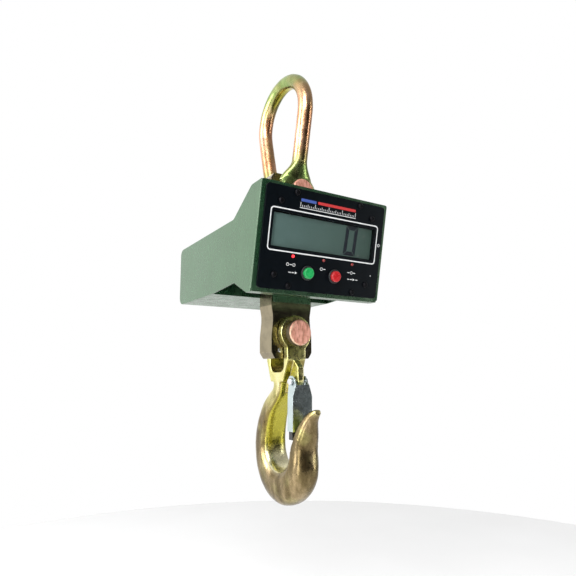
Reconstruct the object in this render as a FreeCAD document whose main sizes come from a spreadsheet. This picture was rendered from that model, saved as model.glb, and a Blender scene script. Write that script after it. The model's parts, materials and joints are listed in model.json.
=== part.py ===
import FreeCAD, Part
import math
import os
import re
from FreeCAD import Placement, Rotation, Vector

# Crane scale: a bow shackle carries a bar load cell, the load cell carries a clevis hook, and a
# sheet-metal housing bolted to the load cell holds the tilted display head and the battery.
# Frame: the origin is the point inside the shackle's crown where the crane bears, +Z is up,
# -Y is the side that the display faces, and +X is to the display's right. Millimetres.

DIMENSIONS = [
    ("bow_rod_radius", 8, "shackle rod, half its thickness"),
    ("bow_radius", 42.5, "crown of the bow, to the middle of the rod"),
    ("eye_radius", 22, "outside of the shackle's eyes"),
    ("eye_thickness", 16, "each shackle eye, along the pin"),
    ("eye_centre", 22, "middle of a shackle eye from the middle plane"),
    ("upper_pin_drop", 129, "upper pin below the bearing point"),
    ("pin_spacing", 145, "upper pin to lower pin"),
    ("pin_radius", 10, "both load pins"),
    ("pin_clearance", 0.05, "radial running clearance round a load pin"),
    ("pin_head_radius", 12.8, "head of a load pin"),
    ("pin_head_height", 8, "head of a load pin"),
    ("cell_width", 48, "load cell, across"),
    ("cell_thickness", 24, "load cell, front to back"),
    ("cell_end", 25, "load cell beyond each pin"),
    ("gauge_pocket_radius", 14, "blind pocket that holds the strain gauges"),
    ("gauge_pocket_depth", 9, "blind pocket that holds the strain gauges"),
    ("sheet", 1.5, "housing sheet steel"),
    ("housing_width", 146, "housing, across"),
    ("frame_height", 98.5, "display frame, along its slope"),
    ("frame_tilt", 12.1, "lean of the display, top edge forward, degrees"),
    ("frame_top_y", -81, "top edge of the display frame"),
    ("frame_top_z", -145.3, "top edge of the display frame"),
    ("panel_width", 137.5, "black front panel"),
    ("panel_height", 93, "black front panel"),
    ("panel_thickness", 2, "black front panel"),
    ("window_width", 118, "display opening"),
    ("window_height", 32.4, "display opening"),
    ("window_centre", 42.3, "display opening below the frame's top edge"),
    ("button_spacing", 31.4, "green button to red button"),
    ("button_offset", 1.7, "the buttons' middle, left of the panel's"),
    ("button_drop", 78.5, "buttons below the frame's top edge"),
    ("cap_radius", 5.2, "button cap"),
    ("cap_travel", 2, "button cap"),
    ("cheek_inner", 13, "inner face of a hook fork cheek from the middle plane"),
    ("cheek_outer", 21, "outer face of a hook fork cheek from the middle plane"),
    ("hook_eye_radius", 17.9, "hook fork eyes"),
    ("neck_half_width", 10.8, "hook neck"),
    ("bowl_radius", 21.5, "inside of the hook's bowl"),
    ("bowl_y", -2, "centre of the hook's bowl"),
    ("bowl_drop", 111.5, "centre of the hook's bowl below the lower pin"),
    ("latch_sheet", 1.5, "safety latch sheet"),
    ("latch_pivot_y", -22.1, "latch pivot in front of the middle plane"),
    ("latch_pivot_drop", 48, "latch pivot below the lower pin"),
    ("battery_length", 101, "sealed lead-acid battery"),
    ("battery_width", 70, "sealed lead-acid battery"),
    ("battery_height", 47, "sealed lead-acid battery"),
]

SIZE = {alias: value for alias, value, note in DIMENSIONS}

doc = FreeCAD.newDocument("crane_scale")
sheet = doc.addObject("Spreadsheet::Sheet", "Sizes")
for row, (alias, value, note) in enumerate(DIMENSIONS, 1):
    sheet.set(f"A{row}", note)
    sheet.set(f"B{row}", str(value))
    sheet.setAlias(f"B{row}", alias)
doc.recompute()

NODES = []
ALONG = {"YZ": Vector(1, 0, 0), "XZ": Vector(0, -1, 0), "XY": Vector(0, 0, 1)}

UPPER_Z = -SIZE["upper_pin_drop"]
LOWER_Z = UPPER_Z - SIZE["pin_spacing"]
MIDDLE_Z = (UPPER_Z + LOWER_Z) / 2
HALF_WIDTH = SIZE["housing_width"] / 2
HALF_INSIDE = HALF_WIDTH - SIZE["sheet"]
CELL_FACE = SIZE["cell_thickness"] / 2
FRAME = Placement(Vector(0, SIZE["frame_top_y"], SIZE["frame_top_z"]),
                  Rotation(Vector(1, 0, 0), SIZE["frame_tilt"]))
HOOK = Placement(Vector(0, 0, LOWER_Z), Rotation())
BODY_TOP = -168
BODY_FLOOR = -233.5
FLARE_HEIGHT = 35
WELL_FRONT = -24.5
WELL_REAR = 24.5
CABLE_X = 56
LEAD_Z = -214.6
SOCKET_Y = 109
SOCKET_Z = -200


# ---- helpers: every one makes an object of the document ----

def formula(text):
    """A spreadsheet formula with each dimension's name pointing at its cell."""
    return re.sub(r"[a-z_]+", lambda word: ("Sizes." if word[0] in SIZE else "") + word[0], text)


def bind(item, **sizes):
    """Set each size to a number, or tie it to the spreadsheet when it is given as text."""
    for prop, size in sizes.items():
        if isinstance(size, str):
            item.setExpression(prop, formula(size))
        else:
            setattr(item, prop, size)
    return item


def block(name, low, size):
    """A rectangular block from its lowest corner."""
    item = doc.addObject("Part::Box", name)
    bind(item, Length=size[0], Width=size[1], Height=size[2])
    item.Placement.Base = Vector(*low)
    return item


def rod(name, start, direction, radius, length):
    """A round bar from its start point."""
    item = doc.addObject("Part::Cylinder", name)
    bind(item, Radius=radius, Height=length)
    item.Placement = Placement(Vector(*start), Rotation(Vector(0, 0, 1), Vector(*direction)))
    return item


def join(name, parts):
    item = doc.addObject("Part::MultiFuse", name)
    item.Shapes = parts
    return item


def cut(name, base, tools):
    item = doc.addObject("Part::Cut", name)
    item.Base = base
    item.Tool = tools[0] if len(tools) == 1 else join(name + "_cutters", tools)
    return item


def common(name, parts):
    item = doc.addObject("Part::MultiCommon", name)
    item.Shapes = parts
    return item


def group(name, parts):
    item = doc.addObject("Part::Compound", name)
    item.Links = parts
    return item


def node(item, label, placement=None):
    """Name a finished sub-part and put it in its place."""
    item.Label = label
    if placement is not None:
        item.Placement = placement
    NODES.append(item)
    return item


def edges_of(loop):
    """Sketch edges of a loop: a circle (u, v, radius), or corners (u, v) or (u, v, rounding)."""
    if isinstance(loop, tuple):
        centre = Vector(loop[0], loop[1], 0)
        return [Part.Circle(centre, Vector(0, 0, 1), loop[2])]
    stops = []
    count = len(loop)
    for index, corner in enumerate(loop):
        point = Vector(corner[0], corner[1], 0)
        before = Vector(*loop[index - 1][:2], 0)
        after = Vector(*loop[(index + 1) % count][:2], 0)
        rounding = corner[2] if len(corner) > 2 else 0
        back = (before - point).normalize()
        ahead = (after - point).normalize()
        half = back.getAngle(ahead) / 2
        if rounding and half < math.radians(89.5):
            reach = rounding / math.tan(half)
            middle = (back + ahead).normalize() * (rounding / math.sin(half) - rounding)
            stops.append((point + back * reach, point + middle, point + ahead * reach))
        else:
            stops.append((point, None, point))
    edges = []
    for index, (start, middle, end) in enumerate(stops):
        if middle is not None:
            edges.append(Part.Arc(start, middle, end))
        edges.append(Part.LineSegment(end, stops[(index + 1) % count][0]))
    return edges


def plane_sketch(body, name, plane, loops, offset=0.0):
    sketch = body.newObject("Sketcher::SketchObject", name)
    role = plane + "_Plane"
    origin_plane = next(f for f in body.Origin.OriginFeatures if f.Role == role)
    sketch.AttachmentSupport = [(origin_plane, "")]
    sketch.MapMode = "FlatFace"
    sketch.AttachmentOffset = Placement(Vector(0, 0, offset), Rotation())
    for loop in loops:
        sketch.addGeometry(edges_of(loop), False)
    return sketch


def slab(name, plane, loops, low, high, thickness=None):
    """A flat piece: loops drawn in a plane, filled between two places along its normal axis."""
    body = doc.addObject("PartDesign::Body", name)
    offset = -high if plane == "XZ" else low
    sketch = plane_sketch(body, name + "_outline", plane, loops, offset)
    pad = body.newObject("PartDesign::Pad", name + "_pad")
    pad.Profile = sketch
    bind(pad, Length=thickness or high - low)
    return body


def turned(name, profile, placement=None):
    """A turned piece about its Y axis: profile of (along the axis, radius) points."""
    body = doc.addObject("PartDesign::Body", name)
    sketch = plane_sketch(body, name + "_profile", "YZ", [profile])
    turn = body.newObject("PartDesign::Revolution", name + "_turn")
    turn.Profile = sketch
    turn.ReferenceAxis = (sketch, ["H_Axis"])
    turn.Angle = 360
    if placement is not None:
        body.Placement = placement
    return body


def mirrored_corners(right_side):
    """A closed outline from its right half, listed from the bottom to the top."""
    left_side = [(-corner[0],) + tuple(corner[1:]) for corner in reversed(right_side)]
    return right_side + left_side


def rectangle(half_u, low_v, high_v, rounding=0.0):
    corners = [(-half_u, low_v), (half_u, low_v), (half_u, high_v), (-half_u, high_v)]
    return [(u, v, rounding) for u, v in corners]


def hexagon(u, v, across_flats):
    reach = across_flats / math.sqrt(3)
    angles = [math.radians(60 * side + 30) for side in range(6)]
    return [(u + reach * math.cos(angle), v + reach * math.sin(angle)) for angle in angles]


def at(x, y, z, axis=(0, 0, 1), angle=0.0):
    return Placement(Vector(x, y, z), Rotation(Vector(*axis), angle))


def pan_screw(name, place, head_radius, head_height, shank_radius, length):
    """A pan-head screw: head towards -Y, shank towards +Y."""
    profile = [(-head_height, 0), (-head_height, 0.6 * head_radius),
               (-0.55 * head_height, 0.93 * head_radius), (0, head_radius),
               (0, shank_radius), (length, shank_radius), (length, 0)]
    return turned(name, profile, place)


def hex_bolt(name, place, across_flats, head_height, shank_radius, length):
    """A hexagon bolt: head towards -Y, shank towards +Y."""
    head = slab(name + "_head", "XZ", [hexagon(0, 0, across_flats)], -head_height, 0)
    shank = rod(name + "_shank", (0, 0, 0), (0, 1, 0), shank_radius, length)
    bolt = join(name, [head, shank])
    bolt.Placement = place
    return bolt


def split_pin(name):
    """A split pin: ring at the top, shank downwards through the load pin, ends bent apart."""
    ring = doc.addObject("Part::Torus", name + "_ring")
    bind(ring, Radius1=3.4, Radius2=1.1)
    ring.Placement = at(0, 0, 17.5, (1, 0, 0), 90)
    shank = rod(name + "_shank", (0, 0, -12.5), (0, 0, 1), 1.9, 27)
    ends = [rod(f"{name}_end{side}", (0.7 * side, 0, -12), (0.45 * side, 0, -1), 1.1, 7)
            for side in (-1, 1)]
    return join(name, [ring, shank] + ends)


def washer(name, low, high, outer, inner):
    chamfer = (high - low) / 4
    profile = [(low, inner), (low, outer - chamfer), (low + chamfer, outer),
               (high - chamfer, outer), (high, outer - chamfer), (high, inner)]
    return turned(name, profile)


def tube(name, points, radius):
    """A cable: straight runs joined by tangent arcs as large as the runs allow."""
    route = [Vector(*point) for point in points]
    edges = []
    start = route[0]
    radii = []
    for before, corner, after in zip(route, route[1:], route[2:]):
        back = (before - corner).normalize()
        ahead = (after - corner).normalize()
        half = back.getAngle(ahead) / 2
        reach = 0.45 * min((before - corner).Length, (after - corner).Length)
        bend = reach * math.tan(half)
        radii.append(round(bend, 1))
        middle = corner + (back + ahead).normalize() * (bend / math.sin(half) - bend)
        edges.append(Part.LineSegment(start, corner + back * reach).toShape())
        edges.append(Part.Arc(corner + back * reach, middle, corner + ahead * reach).toShape())
        start = corner + ahead * reach
    edges.append(Part.LineSegment(start, route[-1]).toShape())
    path = doc.addObject("Part::Feature", name + "_route")
    path.Shape = Part.Wire(edges)
    section = doc.addObject("Part::Circle", name + "_section")
    section.Radius = radius
    section.Placement = Placement(route[0], Rotation(Vector(0, 0, 1), route[1] - route[0]))
    item = doc.addObject("Part::Sweep", name)
    item.Sections = [section]
    item.Spine = (path, [f"Edge{number + 1}" for number in range(len(edges))])
    item.Solid = True
    item.Frenet = False
    doc.recompute()
    ideal = math.pi * radius ** 2 * path.Shape.Length
    print(name, "length", round(path.Shape.Length, 1), "bend radii", radii,
          "volume ratio", round(item.Shape.Volume / ideal, 4))
    return item


# ---- shackle: bow, pin, washer and split pin ----

def bow_leg_touch():
    """Where the straight leg from the eye meets the crown's arc, on the +Y side."""
    centre_z = SIZE["bow_rod_radius"] - SIZE["bow_radius"]
    across = SIZE["eye_centre"]
    down = UPPER_Z - centre_z
    angle = math.atan2(down, across) + math.acos(SIZE["bow_radius"] / math.hypot(across, down))
    return (SIZE["bow_radius"] * math.cos(angle), centre_z + SIZE["bow_radius"] * math.sin(angle))


def make_shackle():
    touch_y, touch_z = bow_leg_touch()
    eye = SIZE["eye_centre"]
    slope = (touch_y - eye) / (touch_z - UPPER_Z)
    leg_foot = (eye + slope * FLARE_HEIGHT, UPPER_Z + FLARE_HEIGHT)
    path = doc.addObject("Part::Feature", "bow_path")
    front_leg = Part.LineSegment(Vector(0, -leg_foot[0], leg_foot[1]),
                                 Vector(0, -touch_y, touch_z))
    crown = Part.Arc(Vector(0, -touch_y, touch_z), Vector(0, 0, SIZE["bow_rod_radius"]),
                     Vector(0, touch_y, touch_z))
    rear_leg = Part.LineSegment(Vector(0, touch_y, touch_z), Vector(0, leg_foot[0], leg_foot[1]))
    path.Shape = Part.Wire([front_leg.toShape(), crown.toShape(), rear_leg.toShape()])
    section = doc.addObject("Part::Circle", "bow_section")
    bind(section, Radius="bow_rod_radius")
    section.Placement = Placement(Vector(0, -leg_foot[0], leg_foot[1]),
                                  Rotation(Vector(0, 0, 1), Vector(0, -slope, 1)))
    bow = doc.addObject("Part::Sweep", "bow_rod")
    bow.Sections = [section]
    bow.Spine = (path, ["Edge1", "Edge2", "Edge3"])
    bow.Solid = True
    pieces = [bow]
    rod_radius = SIZE["bow_rod_radius"]
    flare_stations = [(13.5, eye, 20, 7.9), (20, eye + 1.8, 17, 7.9), (28, eye + 5.2, 11, 7.95),
                      (FLARE_HEIGHT + 1, leg_foot[0] + slope, rod_radius, rod_radius + 0.1)]
    half = SIZE["eye_thickness"] / 2
    for side in (-1, 1):
        ring = [(-half, 0), (-half, SIZE["eye_radius"] - 2), (2 - half, SIZE["eye_radius"]),
                (half - 2, SIZE["eye_radius"]), (half, SIZE["eye_radius"] - 2), (half, 0)]
        pieces.append(turned(f"bow_eye{side}", ring, at(0, side * eye, UPPER_Z)))
        ovals = []
        for height, centre_y, along_x, along_y in flare_stations:
            oval = doc.addObject("Part::Ellipse", f"bow_flare{side}_{round(height)}")
            if along_x < along_y:
                bind(oval, MajorRadius=along_y, MinorRadius=along_x)
                turn = Rotation(Vector(0, 0, 1), 90)
            else:
                bind(oval, MajorRadius=along_x, MinorRadius=along_y)
                turn = Rotation()
            oval.Placement = Placement(Vector(0, side * centre_y, UPPER_Z + height), turn)
            ovals.append(oval)
        flare = doc.addObject("Part::Loft", f"bow_flare{side}")
        flare.Sections = ovals
        flare.Solid = True
        pieces.append(flare)
    bore = rod("bow_bore", (0, -40, UPPER_Z), (0, 1, 0), "pin_radius + pin_clearance", 80)
    node(cut("bow", join("bow_blank", pieces), [bore]), "shackle_bow")
    outer = eye + half
    node(load_pin("upper_pin", outer, outer + 11, UPPER_Z), "shackle_pin")
    node(washer("upper_washer", outer + 0.1, outer + 2.6, 14, 10.3), "shackle_pin_washer",
         at(0, 0, UPPER_Z))
    node(split_pin("upper_split_pin"), "shackle_split_pin", at(0, outer + 5, UPPER_Z))


def load_pin(name, head_seat, end, height):
    """A headed load pin along Y with a cross hole for its split pin."""
    radius = SIZE["pin_radius"]
    head = SIZE["pin_head_radius"]
    top = -head_seat - SIZE["pin_head_height"]
    profile = [(top, 0), (top, head - 1.2), (top + 1.2, head), (-head_seat - 0.1, head),
               (-head_seat - 0.1, radius), (end - 1.5, radius), (end, radius - 1.5), (end, 0)]
    blank = turned(name + "_blank", profile, at(0, 0, height))
    cross_hole = rod(name + "_cross_hole", (0, end - 6, height - 15), (0, 0, 1), 1.95, 30)
    return cut(name, blank, [cross_hole])


# ---- load cell ----

def make_load_cell():
    half = SIZE["cell_width"] / 2
    end = SIZE["cell_end"]
    lower_half = [(half - 4, LOWER_Z - end, 2), (half, LOWER_Z - end + 6, 3),
                  (half, LOWER_Z - 3, 6), (half - 1.7, LOWER_Z + 12, 8),
                  (half - 1.7, LOWER_Z + 18, 8), (half, LOWER_Z + 28, 8)]
    upper_half = [(u, 2 * MIDDLE_Z - v, rounding) for u, v, rounding in reversed(lower_half)]
    outline = mirrored_corners(lower_half + upper_half)
    blank = slab("cell_blank", "XZ", [outline], -CELL_FACE, CELL_FACE, "cell_thickness")
    cutters = []
    for name, height in (("upper", UPPER_Z), ("lower", LOWER_Z)):
        cutters.append(rod(f"cell_{name}_bore", (0, -20, height), (0, 1, 0),
                           "pin_radius + pin_clearance", 40))
    for side in (-1, 1):
        start = (0, side * CELL_FACE, MIDDLE_Z)
        inward = (0, -side, 0)
        cutters.append(rod(f"cell_pocket{side}", start, inward, "gauge_pocket_radius",
                           "gauge_pocket_depth"))
        cutters.append(rod(f"cell_cover_seat{side}", start, inward, 18, 2))
    cutters.append(rod("cell_cable_duct", (8, -7, MIDDLE_Z), (1, 0, 0), 2.6, 30))
    cutters.append(rod("cell_gland_thread", (half - 5.7, -7, MIDDLE_Z), (1, 0, 0), 4.1, 8))
    bolts = bracket_bolt_places()
    cutters += [rod(f"cell_tapping{number}", (x, side * CELL_FACE, z), (0, -side, 0), 3, 9)
                for number, (x, side, z) in enumerate(bolts)]
    cutters += [rod(f"cell_face_tapping{side}", (14 * side, -CELL_FACE, LOWER_Z - 16.7),
                    (0, 1, 0), 1.5, 6) for side in (-1, 1)]
    node(cut("cell", blank, cutters), "load_cell_body")
    covers = []
    for side in (-1, 1):
        turn = 0 if side < 0 else 180
        place = at(0, side * (CELL_FACE - 2), MIDDLE_Z, (0, 0, 1), turn)
        covers.append(turned(f"gauge_cover{side}", [(-2, 0), (-2, 17.4), (-1.6, 17.8),
                                                    (0, 17.8), (0, 0)], place))
    node(group("gauge_covers", covers), "gauge_pocket_covers")
    floor = CELL_FACE - SIZE["gauge_pocket_depth"]
    gauges = [block(f"gauge{side}_{column}", (6.5 * column - 2.5, side * floor - (side < 0) * 0.5,
                                              MIDDLE_Z - 4), (5, 0.5, 8))
              for side in (-1, 1) for column in (-1, 1)]
    node(group("gauges", gauges), "strain_gauges")
    gland = [(-5, 2.1), (-5, 3.9), (0, 3.9), (0, 6), (5, 6), (5.5, 5.2), (12, 4.4), (12, 2.1)]
    node(turned("gland", gland), "load_cell_gland", at(half, -7, MIDDLE_Z, (0, 0, 1), -90))
    face_screws = [pan_screw(f"face_screw{side}", at(14 * side, -CELL_FACE, LOWER_Z - 16.7),
                             2.6, 0.7, 1.45, 5) for side in (-1, 1)]
    node(group("face_screws", face_screws), "load_cell_face_screws")


def bracket_bolt_places():
    """The bolts that hold the two housing brackets to the load cell: x, side, z."""
    return [(x, side, -228) for side in (-1, 1) for x in (-13, 13)]


# ---- housing ----

def frame_back(height):
    """A point just behind the tilted display frame at a given height: (y, z)."""
    lean = math.radians(SIZE["frame_tilt"])
    drop = height - SIZE["frame_top_z"]
    inwards = (SIZE["sheet"] + 0.05 - drop * math.sin(lean)) / math.cos(lean)
    return (SIZE["frame_top_y"] + inwards, height)


def make_housing():
    side_outline = [frame_back(-242.6), (-49.5, -242.6, 3), (-45.5, -239, 3),
                    (-25.8, -230, 5), (24, BODY_FLOOR, 20), (118.5, BODY_FLOOR, 9),
                    (118.5, BODY_TOP, 7), (-23.9, BODY_TOP, 8), (-60.8, -145, 6), frame_back(-145)]
    socket_hole = (SOCKET_Y, SOCKET_Z, 5.6)
    left = slab("left_side", "YZ", [side_outline], -HALF_WIDTH, -HALF_INSIDE, "sheet")
    node(left, "side_plate_left")
    right = slab("right_side", "YZ", [side_outline, socket_hole], HALF_INSIDE, HALF_WIDTH,
                 "sheet")
    node(right, "side_plate_right")
    head_top = [frame_back(-145), (-60.8, -145, 6), (-23.9, BODY_TOP, 8), (-20, BODY_TOP),
                (-20, -169.5), (-24.3, -169.5, 6.5), (-61.2, -146.5, 4.5), frame_back(-146.5)]
    node(slab("head_top", "YZ", [head_top], -HALF_INSIDE, HALF_INSIDE), "head_top_sheet")
    head_floor = [frame_back(-242.6), (-48.5, -242.6, 3), (WELL_FRONT, -230.6),
                  (WELL_FRONT, -229), (-48.9, -241.1, 3), frame_back(-241.1)]
    node(slab("head_floor", "YZ", [head_floor], -HALF_INSIDE, HALF_INSIDE), "head_floor_sheet")
    cell_hole = (CABLE_X, MIDDLE_Z, 4.5)
    lead_hole = (CABLE_X, LEAD_Z, 4.5)
    bolt_holes = [(x, -204, 2.6) for x in (-13, 13)]
    wall = rectangle(HALF_INSIDE, -228.9, -169.8)
    node(slab("head_rear", "XZ", [wall, cell_hole, lead_hole] + bolt_holes, WELL_FRONT - 1.5,
              WELL_FRONT, "sheet"), "head_rear_wall")
    well_wall = rectangle(HALF_INSIDE, BODY_FLOOR, -169.6)
    node(slab("well_rear", "XZ", [well_wall, lead_hole] + bolt_holes, WELL_REAR,
              WELL_REAR + 1.5, "sheet"), "battery_box_front_wall")
    wrap = [(-20, BODY_TOP), (118.5, BODY_TOP, 7), (118.5, BODY_FLOOR, 9),
            (WELL_REAR + 1.6, BODY_FLOOR), (WELL_REAR + 1.6, -232), (117, -232, 7.5),
            (117, -169.5, 5.5), (-20, -169.5)]
    sheet_wrap = slab("wrap", "YZ", [wrap], -HALF_INSIDE, HALF_INSIDE)
    cell_slot = block("wrap_cell_slot", (-26, -14.5, -175), (52, 29, 10))
    door_opening = block("wrap_door_opening", (-50, 110, -224), (100, 20, 46))
    node(cut("wrap_cut", sheet_wrap, [cell_slot, door_opening]), "battery_box_wrap")
    door = slab("door", "XZ", [rectangle(58, -229, -173, 3)], 118.5, 120, "sheet")
    node(door, "battery_door")
    door_screws = [pan_screw(f"door_screw{x}_{z}", at(x, 120, z, (0, 0, 1), 180), 2.9, 1.9, 1.5, 8)
                   for x in (-54, 54) for z in (-225.5, -176.5)]
    door_holes = [rod(f"door_hole{index}", (screw.Placement.Base.x, 110,
                                            screw.Placement.Base.z), (0, 1, 0), 1.55, 20)
                  for index, screw in enumerate(door_screws)]
    for name in ("battery_door", "battery_box_wrap"):
        drilled(name, door_holes)
    node(group("door_screw_set", door_screws), "battery_door_screws")
    make_brackets()


def drilled(label, holes):
    """Replace a finished sub-part by the same piece with more holes in it."""
    index = next(i for i, item in enumerate(NODES) if item.Label == label)
    blank = NODES[index]
    blank.Label = label + "_undrilled"
    NODES[index] = cut(label + "_drilled", blank, holes)
    NODES[index].Label = label


def make_brackets():
    """Z-shaped brackets that carry the housing on the load cell's two faces."""
    for side, label in ((-1, "front_bracket"), (1, "rear_bracket")):
        wall = -WELL_FRONT
        profile = [(CELL_FACE, -242.5), (CELL_FACE + 2, -242.5), (CELL_FACE + 2, -214, 1),
                   (wall, -214, 3), (wall, -194), (wall - 2, -194), (wall - 2, -212, 1),
                   (CELL_FACE, -212, 3)]
        outline = [(side * corner[0],) + tuple(corner[1:]) for corner in profile]
        blank = slab(label + "_blank", "YZ", [outline], -22.5, 22.5)
        drills = [rod(f"{label}_hole{x}_{z}", (x, side * y, z), (0, side, 0), radius, 8)
                  for x in (-13, 13)
                  for y, z, radius in ((CELL_FACE - 3, -228, 3.1), (wall - 6, -204, 2.6))]
        node(cut(label, blank, drills), label)
    cell_bolts = [hex_bolt(f"cell_bolt{number}", at(x, side * (CELL_FACE + 2), z, (0, 0, 1),
                                                    0 if side < 0 else 180), 10, 4, 2.95, 10)
                  for number, (x, side, z) in enumerate(bracket_bolt_places())]
    node(group("cell_bolts", cell_bolts), "bracket_cell_bolts")
    wall_bolts = []
    wall_nuts = []
    for side in (-1, 1):
        turn = 0 if side < 0 else 180
        for x in (-13, 13):
            place = at(x, side * (-WELL_FRONT + 1.5), -204, (0, 0, 1), turn)
            wall_bolts.append(hex_bolt(f"wall_bolt{side}_{x}", place, 8, 3.5, 2.5, 8.5))
            nut = slab(f"wall_nut{side}_{x}", "XZ", [hexagon(0, 0, 8), (0, 0, 2.55)], 3.5, 7.5)
            nut.Placement = place
            wall_nuts.append(nut)
    node(group("wall_bolt_set", wall_bolts), "bracket_wall_bolts")
    node(group("wall_nut_set", wall_nuts), "bracket_wall_nuts")


# ---- display head, drawn flat in the frame's own axes: x across, y inwards, z up the slope ----

PANEL_SCREWS = [(37, 6.6), (53, 16.7), (53, 83), (37, 92)]
LED_COLUMNS = [-34.4, 0, 34.4]
LED_DROP = 64.7
BOARD_Y = 20
STANDOFFS = [(62, 15.5), (62, 84)]


def both_sides(spots):
    return [(side * u, -v) for u, v in spots for side in (-1, 1)]


def head_block(name, x_range, y_range, v_range):
    """A block in the frame's axes; v runs down from the frame's top edge."""
    return block(name, (x_range[0], y_range[0], -v_range[1]),
                 (x_range[1] - x_range[0], y_range[1] - y_range[0], v_range[1] - v_range[0]))


def button_across(side):
    """How far right of the panel's middle the green (-1) or red (1) button sits."""
    return side * SIZE["button_spacing"] / 2 - SIZE["button_offset"]


def make_panel():
    screw_spots = both_sides(PANEL_SCREWS)
    buttons = [(button_across(side), -SIZE["button_drop"]) for side in (-1, 1)]
    opening = [(46, -87.5, 2), (46, -77), (66, -77, 2), (66, -21.5, 2), (46, -21.5),
               (46, -11, 2)]
    frame_loops = [rectangle(HALF_WIDTH, -SIZE["frame_height"], 0, 2), mirrored_corners(opening)]
    frame_loops += [(u, v, 1.6) for u, v in screw_spots]
    node(slab("frame_plate", "XZ", frame_loops, 0, 1.5, "sheet"), "front_frame", FRAME)
    half_panel = SIZE["panel_width"] / 2
    half_window = SIZE["window_height"] / 2
    centre = -SIZE["window_centre"]
    panel_loops = [rectangle(half_panel, -3 - SIZE["panel_height"], -3, 3.5),
                   rectangle(SIZE["window_width"] / 2, centre - half_window, centre + half_window)]
    panel_loops += [(u, v, 1.65) for u, v in screw_spots]
    panel_loops += [(u, v, 6.1) for u, v in buttons]
    panel_loops += [(u, -LED_DROP, 1.65) for u in LED_COLUMNS]
    node(slab("panel_plate", "XZ", panel_loops, -2, 0, "panel_thickness"), "front_panel", FRAME)
    screws = [pan_screw(f"panel_screw{index}", at(u, -2, v), 2.9, 1.9, 1.5, 8)
              for index, (u, v) in enumerate(screw_spots)]
    node(group("panel_screw_set", screws), "panel_screws", FRAME)
    nuts = [slab(f"panel_nut{index}", "XZ", [hexagon(u, v, 5.5), (u, v, 1.55)], 1.5, 3.9)
            for index, (u, v) in enumerate(screw_spots)]
    node(group("panel_nut_set", nuts), "panel_nuts", FRAME)


def make_display():
    centre = -SIZE["window_centre"]
    low = centre - SIZE["window_height"] / 2
    high = centre + SIZE["window_height"] / 2
    window = slab("window", "XZ", [rectangle(SIZE["window_width"] / 2 - 0.1, low + 0.1,
                                             high - 0.1)], -1.8, -0.2)
    node(window, "display_window", FRAME)
    node(head_block("glass", (-62, 62), (0.8, 3.6), (-centre - 19, -centre + 19)), "lcd_glass",
         FRAME * doc.getObject("glass").Placement)
    node(head_block("light_guide", (-62, 62), (3.7, 6.7), (-centre - 19, -centre + 19)),
         "lcd_backlight", FRAME * doc.getObject("light_guide").Placement)
    pins = [rod(f"lcd_pin{row}_{index}", (-57 + 6 * index, 7.9, row), (0, 1, 0), 0.4, 12)
            for row in (centre - 17.5, centre + 17.5) for index in range(20)]
    carrier = head_block("lcd_carrier", (-63, 63), (6.8, 8), (-centre - 20, -centre + 20))
    node(join("lcd_carrier_pins", [carrier] + pins), "lcd_carrier_board", FRAME)
    lamps = []
    for number, u in enumerate(LED_COLUMNS):
        bulb = turned(f"led{number}_bulb", [(-3.4, 0), (-3.2, 0.8), (-2.6, 1.35), (-1.9, 1.5),
                                            (2, 1.5), (2, 1.9), (3, 1.9), (3, 0)],
                      at(u, 0, -LED_DROP))
        legs = [rod(f"led{number}_leg{side}", (u + 0.6 * side, 2.5, -LED_DROP), (0, 1, 0), 0.3,
                    BOARD_Y - 2.6) for side in (-1, 1)]
        lamps.append(join(f"led{number}", [bulb] + legs))
    node(group("leds", lamps), "status_leds", FRAME)


def make_buttons():
    housings = []
    nuts = []
    for side, colour in ((-1, "green"), (1, "red")):
        place = at(button_across(side), 0, -SIZE["button_drop"])
        barrel = [(-3.8, 5.3), (-3.8, 6.3), (-3.4, 6.8), (-2, 6.8), (-2, 6), (12, 6), (12, 0),
                  (8, 0), (8, 5.3)]
        housings.append(turned(colour + "_barrel", barrel, place))
        nut = slab(colour + "_nut", "XZ", [hexagon(0, 0, 14), (0, 0, 6.05)], 0, 2.8)
        nut.Placement = place
        nuts.append(nut)
        cap_radius = SIZE["cap_radius"]
        cap = [(-6.8, 0), (-6.8, cap_radius - 0.6), (-6.2, cap_radius), (1, cap_radius),
               (1, 1.6), (4, 1.6), (4, 0)]
        node(turned(colour + "_cap", cap), colour + "_button_cap", FRAME * place)
        coils = []
        for turn in range(4):
            coil = doc.addObject("Part::Torus", f"{colour}_coil{turn}")
            bind(coil, Radius1=3, Radius2=0.4)
            coil.Placement = at(0, 1.7 + 1.9 * turn, 0, (1, 0, 0), 90)
            coils.append(coil)
        node(group(colour + "_coils", coils), colour + "_button_spring", FRAME * place)
    node(group("barrels", housings), "button_housings", FRAME)
    node(group("barrel_nuts", nuts), "button_nuts", FRAME)


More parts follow.
